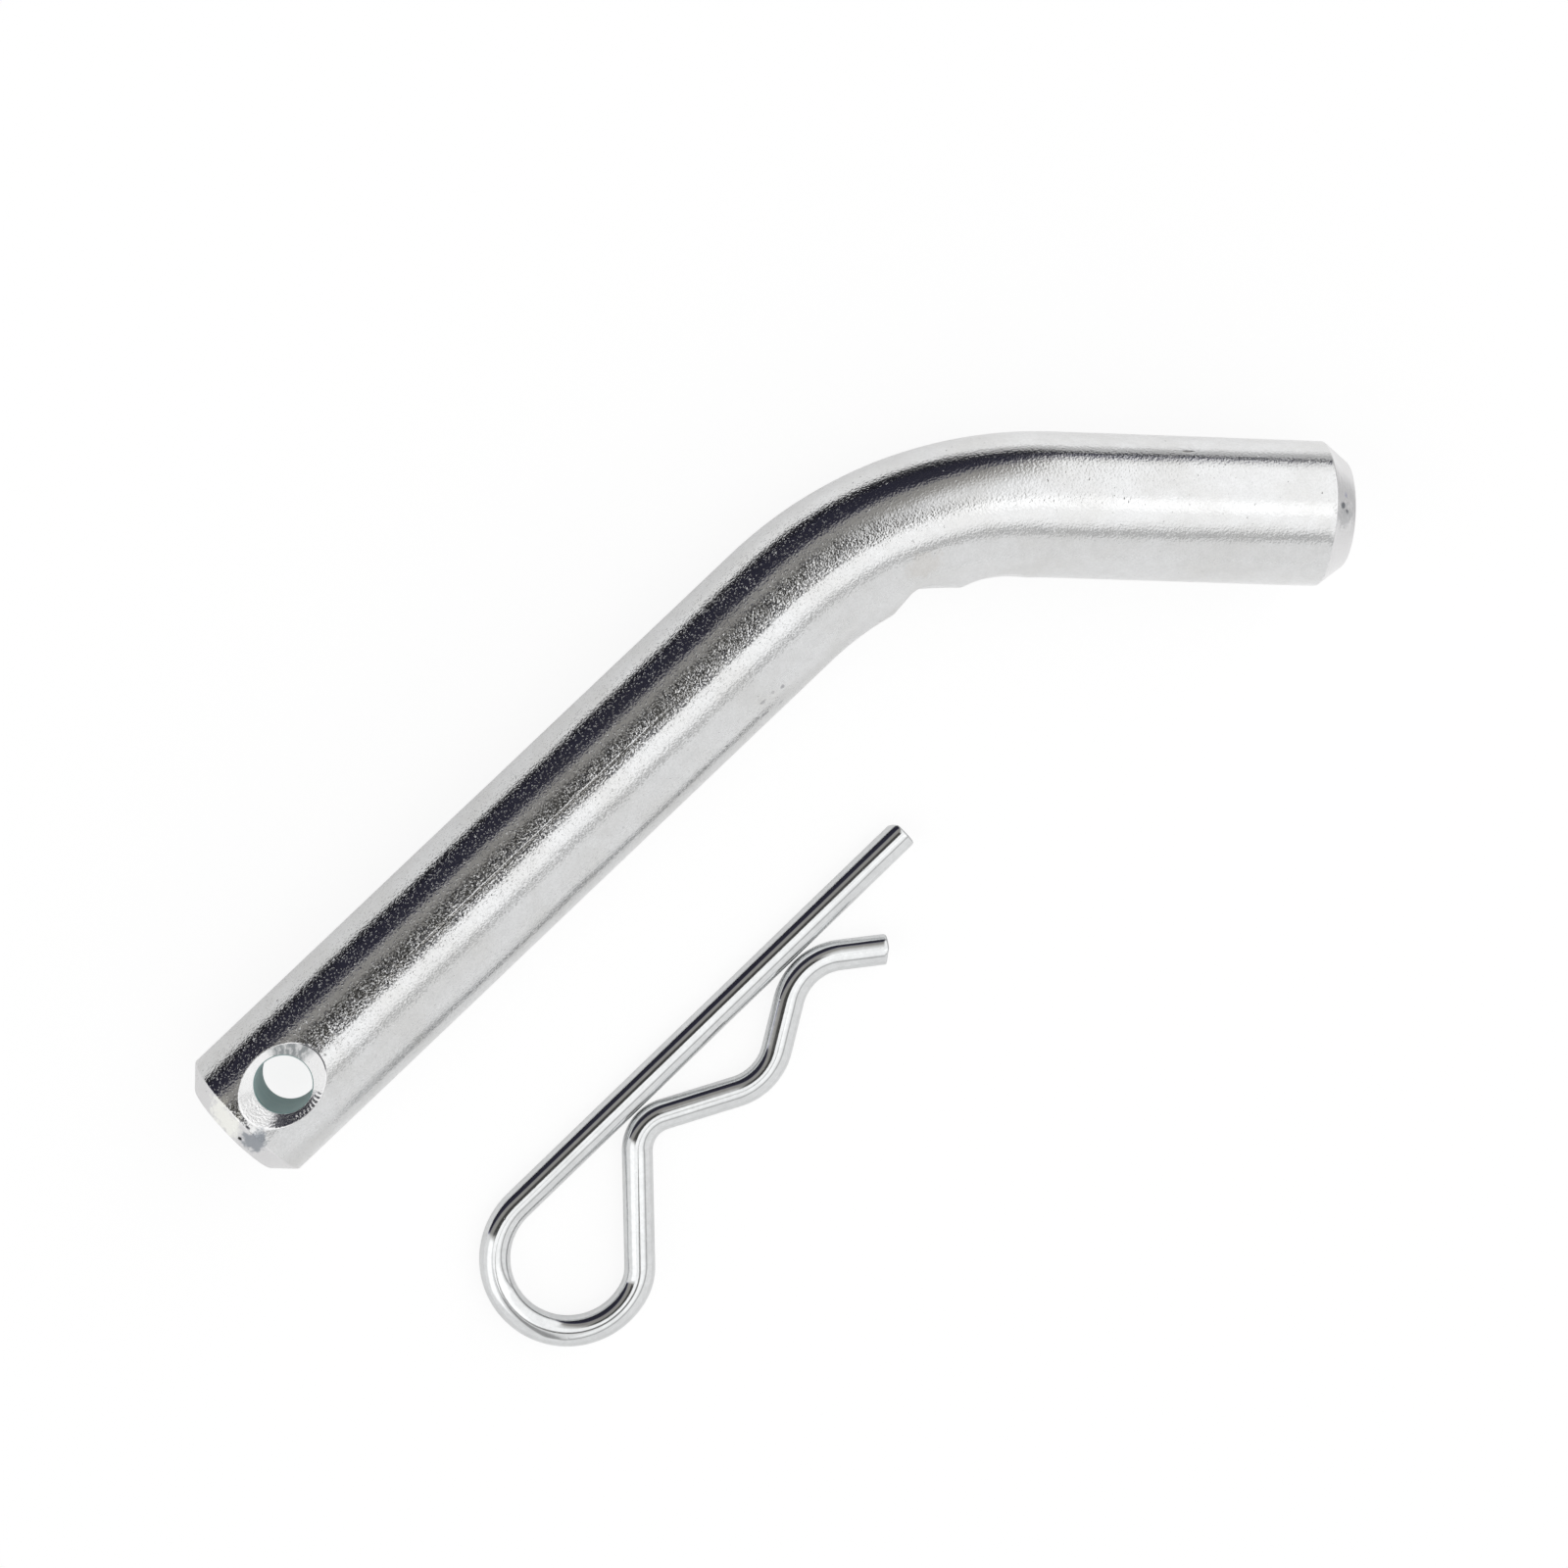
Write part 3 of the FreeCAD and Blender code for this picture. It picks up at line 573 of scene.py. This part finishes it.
def pin_worked(n, where, tooled, tone, roughness, heights):
    """The pin's rough crest, turned ends, countersinks with their chatter, dull bore darkened with painted
    shade, and handling marks.
    """
    end = n.ramp(tooled, 0.2, 0.9)
    cone = n.ramp(tooled, 1.1, 1.9)
    bore = n.ramp(tooled, 2.1, 2.9)
    drawn, on_end = n.less(end), n.maths("SUBTRACT", end, cone)
    # Along the bar, towards the bend's inner side, and up; then round the cross-hole and round the bar.
    s, side, up = n.put("ShaderNodeSeparateXYZ", {"Vector": where}).outputs
    off = n.maths("SUBTRACT", HOLE_INSET, s)
    radius, psi = n.hypotenuse(off, side), n.maths("ARCTAN2", side, off)
    turned = n.hypotenuse(side, up)
    blotch = n.noise(where, 1.1, 3.0, 0.65)

    # The crest of the bar is rougher, where it slid along the table and the bending tool.
    crest = n.inside((side, -3.2, -1.8, 0.5, 0.1), (up, 5.0, 6.0), (s, 104, 80))
    # A drawing die left one smooth line along the rough crest.
    from_line = n.maths("ABSOLUTE", n.maths("SUBTRACT", side, DIE_LINE))
    die_line = n.inside((from_line, 0.22, 0.09), (s, 20, 34, 68, 60))
    patchy = n.ramp(n.noise(where, 0.5, 2.0, 0.6), 0.35, 0.6, 0.35, 1.0)
    crest = n.times(crest, n.less(die_line), patchy, drawn)
    speckle = n.noise(where, 1 / CREST_GRAIN, 0.0, 0.5)
    # Near-black specks in the crest's colour.
    crest_dark_specks = n.ramp(n.noise(n.vector("ADD", where, (7.0, 0.0, 0.0)), 1 / DARK_SPECK_GRAIN, 0.0, 0.5), 0.44, 0.56)
    tone = n.mix(n.times(crest_dark_specks, crest, 0.85), tone, (0.05, 0.05, 0.06, 1))
    # Sharp little specks all over the shank; the arm is smoother.
    heights = n.times(heights, n.ramp(s, 84, 120, 1.0, 0.72))
    specks = n.ramp(n.noise(where, 1 / SPECK_GRAIN, 0.0, 0.5), 0.61, 0.74)
    heights = n.plus(heights, n.times(specks, n.ramp(s, 80, 106, SPECK_HEIGHT, 0.0), drawn),
                     n.times(speckle, crest, CREST_HEIGHT))

    # Rings left by the lathe on the ends and by the drill in the countersink, where it chattered.
    rings = n.maths("SINE", n.times(turned, 2 * math.pi / LATHE_PITCH))
    drilled = n.maths("SINE", n.times(radius, 2 * math.pi / DRILL_PITCH))
    chatter = n.maths("SINE", n.times(psi, CHATTER_TEETH))
    chatter = n.times(chatter, cone, n.inside((radius, 3.35, 3.7), (psi, 0.9, 1.2, 2.3, 1.9)))
    heights = n.plus(heights, n.times(rings, on_end, LATHE_DEPTH), n.times(drilled, cone, DRILL_DEPTH),
                     n.times(chatter, CHATTER_DEPTH))
    tone = n.mix(n.times(on_end, 0.5), tone, (0.80, 0.79, 0.80, 1))
    tone = n.mix(n.times(cone, 0.9), tone, (0.95, 0.95, 0.95, 1))

    # Dull streaks down the countersink, on the side towards the bend and away from its inner side.
    from_soot = n.plus(psi, math.radians(140))
    spokes = n.put("ShaderNodeCombineXYZ", {0: n.times(psi, 9.0), 1: radius}).outputs[0]
    soot = n.times(n.inside((from_soot, -0.75, -0.45, 0.60, 0.35)), cone,
                   n.ramp(n.noise(spokes, 1.0, 2.0, 0.6), 0.35, 0.60, 0.4, 1.0))
    tone = n.mix(n.times(soot, 0.85), tone, (0.20, 0.22, 0.23, 1))
    # A dark line along the upper countersink's edge towards the bend.
    dark_rim_line = n.inside((tooled, 0.1, 0.5, 1.9, 1.5), (up, 0.0, 1.0), (radius, 6.5, 6.0))
    dark_rim_line = n.times(dark_rim_line, n.ramp(n.maths("DIVIDE", off, radius), -0.95, -0.88, 0.85, 0.0))
    tone = n.mix(dark_rim_line, tone, (0.04, 0.04, 0.05, 1))
    # The bore's dark green-grey tone is painted shade of the hole's wall.
    painted_bore_shade = n.mix(n.ramp(blotch, 0.35, 0.65), (0.22, 0.33, 0.33, 1), (0.26, 0.365, 0.355, 1))
    tone = n.mix(bore, tone, painted_bore_shade)
    roughness = n.plus(roughness, n.times(end, 0.10), n.times(bore, 0.25))

    for centre, size, stretch, colour, strength, dull, depth in PIN_MARKS:
        away = n.vector("LENGTH", n.vector("MULTIPLY", n.vector("SUBTRACT", where, centre), stretch))
        ragged = n.plus(away, n.ramp(blotch, 0.3, 0.7, -0.3 * size, 0.3 * size))
        mark = n.ramp(ragged, size * 0.55, size * 1.1, strength, 0.0)
        tone = n.mix(mark, tone, colour + (1,))
        roughness = n.plus(roughness, n.times(mark, dull))
        if depth:
            heights = n.maths("SUBTRACT", heights, n.times(mark, depth))
    return tone, roughness, heights


def clip_worked(n, where, tooled, tone, roughness, heights):
    """The wire's sheared ends, duller than its drawn skin."""
    shear = n.noise(n.vector("MULTIPLY", where, (1.0, 0.15, 1.0)), 5.0, 2.0, 0.6)
    tone = n.mix(n.times(tooled, n.ramp(shear, 0.3, 0.7, 0.5, 0.9)), tone, (0.34, 0.34, 0.35, 1))
    roughness = n.plus(roughness, n.times(tooled, 0.22))
    heights = n.plus(heights, n.times(shear, tooled, 0.03))
    return tone, roughness, heights


PIN_ZINC = zinc("pin_zinc", colour=(0.73, 0.735, 0.74, 1), shade=(0.68, 0.68, 0.675, 1), rough=0.11,
                grain=(0.26, 0.026), lines=(0.45, 0.006), swell=0.06, pits=0.045, worked=pin_worked)
CLIP_ZINC = zinc("clip_zinc", colour=(0.74, 0.75, 0.755, 1), shade=(0.69, 0.70, 0.705, 1), rough=0.08,
                 grain=(0.5, 0.0015), lines=(0.3, 0.001), swell=0.01, pits=0.006, worked=clip_worked)
pin.data.materials.append(PIN_ZINC)
clip.data.materials.append(CLIP_ZINC)

pin.visible_glossy = False
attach(pin, "pin")
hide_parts("bent_pin")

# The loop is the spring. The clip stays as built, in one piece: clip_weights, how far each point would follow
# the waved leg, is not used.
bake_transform(clip)
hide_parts("clip_straight_leg", "clip_spring_leg")


# ------------------------------------------------------------------ table, light and camera
# The camera, fitted to the photo: its place in millimetres, the picture's right and up, and its lens.
CAMERA_PLACE = (-41.784, -13.218, 318.557)
CAMERA_RIGHT, CAMERA_UP = (-0.7218, 0.6849, 0.0999), (-0.6898, -0.7237, -0.0224)
CAMERA_LENS = 68.01

# The table's own directions: towards the picture's right and towards its top.
RIGHT = (-0.7254, 0.6883, 0.0)
BACK = (-0.6883, -0.7254, 0.0)

FLOOR_HALF = 3.0
CARD_HEIGHT = 95.0
CARD_X, CARD_Y = (-105, 31), (9.3, 45)
CARD_STRENGTH = 1.26


def sheet(name, material_name, xs, ys, z):
    """A flat level sheet, in metres, and the nodes of its new material."""
    mesh = bpy.data.meshes.new(name)
    corners = ((xs[0], ys[0]), (xs[1], ys[0]), (xs[1], ys[1]), (xs[0], ys[1]))
    mesh.from_pydata([(x, y, z) for x, y in corners], [], [(0, 1, 2, 3)])
    piece = bpy.data.objects.new(name, mesh)
    bpy.context.scene.collection.objects.link(piece)
    material = bpy.data.materials.new(material_name)
    material.use_nodes = True
    mesh.materials.append(material)
    return piece, Nodes(material.node_tree)


def build_floor():
    """White paper. The camera sees it lit from below as well, as on a light table, so shadows stay faint."""
    reach = (-FLOOR_HALF, FLOOR_HALF)
    floor, n = sheet("floor", "floor_paper", reach, reach, TABLE_Z * MM)
    seen = n.put("ShaderNodeLightPath").outputs["Is Camera Ray"]
    unseen = n.less(seen)
    spot = n.put("ShaderNodeNewGeometry").outputs["Position"]
    up, right = n.vector("DOT_PRODUCT", spot, BACK), n.vector("DOT_PRODUCT", spot, RIGHT)
    # For all but camera rays the paper glows, more towards the picture's right and top: painted light seen in
    # the metal's reflections.
    glow = n.plus(0.215, n.ramp(right, 0.060, 0.085, 0.0, 0.10), n.ramp(up, 0.062, 0.090, 0.0, 0.14))
    # Towards the upper left, beyond 100 to 145 mm from a point near the pin, the paper turns near black and
    # stops glowing for all but camera rays: painted shade that only the metal's reflections show.
    away = n.vector("LENGTH", n.vector("SUBTRACT", spot, (-0.050, 0.010, TABLE_Z * MM)))
    painted_dark_floor = n.inside((away, 0.100, 0.145), (up, 0.02, 0.06))
    painted_dark_floor = n.times(painted_dark_floor, n.ramp(right, 0.03, 0.08, 1.0, 0.45), unseen)
    paper = n.mix(painted_dark_floor, (0.8, 0.8, 0.8, 1), (0.03, 0.03, 0.035, 1))
    lit = n.plus(n.times(glow, n.less(painted_dark_floor), unseen), n.times(seen, 0.87))
    shader = n.put("ShaderNodeBsdfPrincipled", {
        "Base Color": n.mix(seen, paper, (0.16, 0.16, 0.16, 1)), "Roughness": 0.9,
        "Specular IOR Level": 0.0, "Emission Color": (1, 1, 1, 1), "Emission Strength": lit})
    n.put("ShaderNodeOutputMaterial", {"Surface": shader.outputs[0]})


def build_card():
    """A low softbox over both pieces. Only the metal sees it: its near edge is the highlight's edge."""
    xs, ys = ([v * MM for v in pair] for pair in (CARD_X, CARD_Y))
    card, n = sheet("softbox", "softbox_light", xs, ys, CARD_HEIGHT * MM)
    light = n.put("ShaderNodeEmission", {"Color": (1, 1, 1, 1), "Strength": CARD_STRENGTH})
    n.put("ShaderNodeOutputMaterial", {"Surface": light.outputs[0]})
    card.visible_camera = card.visible_diffuse = card.visible_shadow = card.visible_transmission = False


def build_world():
    """The studio: a white tent with a long softbox right of the zenith and a dark opening at the upper left.

    Directions are angles in degrees from straight up: across grows to the picture's right, along to its top.
    """
    world = bpy.data.worlds.new("studio")
    bpy.context.scene.world = world
    world.use_nodes = True
    n = Nodes(world.node_tree)
    way = n.put("ShaderNodeTexCoord").outputs["Generated"]
    x, y, z = (n.vector("DOT_PRODUCT", way, axis) for axis in (RIGHT, BACK, (0.0, 0.0, 1.0)))
    upright = n.maths("MINIMUM", n.maths("MAXIMUM", z, -0.9999), 0.9999)
    tilt = n.times(n.maths("ARCCOSINE", upright), 180 / math.pi)
    spread = n.maths("DIVIDE", tilt, n.maths("MAXIMUM", n.hypotenuse(x, y), 0.001))
    across, along = n.times(x, spread), n.times(y, spread)

    def lean(share_across, share_along):
        return n.plus(n.times(across, share_across), n.times(along, share_along))

    # Slant runs across the shank and axial along it. The others are the leaning edges of one patch each.
    slant, axial = lean(0.688, -0.725), lean(0.725, 0.688)
    edge, near, deep, rise = lean(1.0, -0.1), lean(0.3, 1.0), lean(-0.7, 1.0), lean(-1.3, 1.0)

    # The tent's white wall, its softbox with a brighter core, a window at the left and two grey seams.
    softbox = n.inside((edge, 5, 8), (slant, 38, 26), (tilt, 86, 66))
    core = n.inside((along, -12, -4, 14, 6), (edge, 4, 10))
    window = n.inside((across, -62, -54, -22, -28), (along, -42, -34, 6, 0))
    level = n.plus(0.96, n.times(softbox, n.plus(0.30, n.times(core, 0.24))), n.times(window, 0.45))
    gap = n.inside((slant, 36, 40, 48, 43), (edge, 1, 6))
    stripe = n.inside((across, -16, -12, 0, -4), (along, -65, -55, 8, 2))
    level = n.times(level, n.less(n.plus(n.times(gap, 0.45), n.times(stripe, 0.6))))

    # The dark opening. Beyond the bend its near side rises: only what is low at the picture's top is dark.
    lost = n.inside((axial, 6, 16), (rise, 54, 22))
    dark = n.maths("MAXIMUM", n.inside((edge, 6, 4)), n.ramp(rise, 44, 58))
    dark = n.times(dark, n.inside((near, -13, -8)), n.less(lost))
    # In it a dim grey wall ends well above the table, and a pale tube hangs in front.
    tube = n.inside((slant, -6.5, -4.5, -0.5, -2.5), (axial, -14, -10, 4, 1))
    inner = n.plus(n.ramp(deep, 32, 42, 0.03, 0.30), n.times(tube, 1.1))
    wall = n.ramp(deep, 60, 68, 1.0, 0.0)
    dark_level = n.plus(n.times(inner, wall), 0.035)
    level = n.plus(n.times(level, n.less(dark)), n.times(dark_level, dark))
    horizon = n.inside((tilt, 82, 87), (along, 20, 50))
    level = n.times(level, n.less(n.times(horizon, 0.8)))

    dark_tint = n.mix(wall, (0.84, 0.84, 1.3, 1), (1.03, 1.0, 0.95, 1))
    tint = n.mix(dark, (1, 1, 1, 1), dark_tint)
    background = n.put("ShaderNodeBackground", {"Color": tint, "Strength": level})
    plain = n.put("ShaderNodeBackground", {"Color": (1, 1, 1, 1), "Strength": 1.0})
    seen = n.put("ShaderNodeLightPath").outputs["Is Camera Ray"]
    mix = n.put("ShaderNodeMixShader", {0: seen, 1: background.outputs[0], 2: plain.outputs[0]})
    n.put("ShaderNodeOutputWorld", {"Surface": mix.outputs[0]})


def build_camera():
    data = bpy.data.cameras.new("camera")
    data.lens = CAMERA_LENS
    data.sensor_width = 36.0
    data.clip_start, data.clip_end = 0.01, 20.0
    camera = bpy.data.objects.new("camera", data)
    bpy.context.scene.collection.objects.link(camera)
    right, up = Vector(CAMERA_RIGHT), Vector(CAMERA_UP)
    right.normalize()
    back = right.cross(up).normalized()
    up = back.cross(right)
    facing = Matrix((right, up, back)).transposed().to_4x4()
    camera.matrix_world = Matrix.Translation(Vector(CAMERA_PLACE) * MM) @ facing
    bpy.context.scene.camera = camera


build_floor()
build_card()
build_world()
build_camera()
bpy.context.scene.view_settings.view_transform = "Standard"
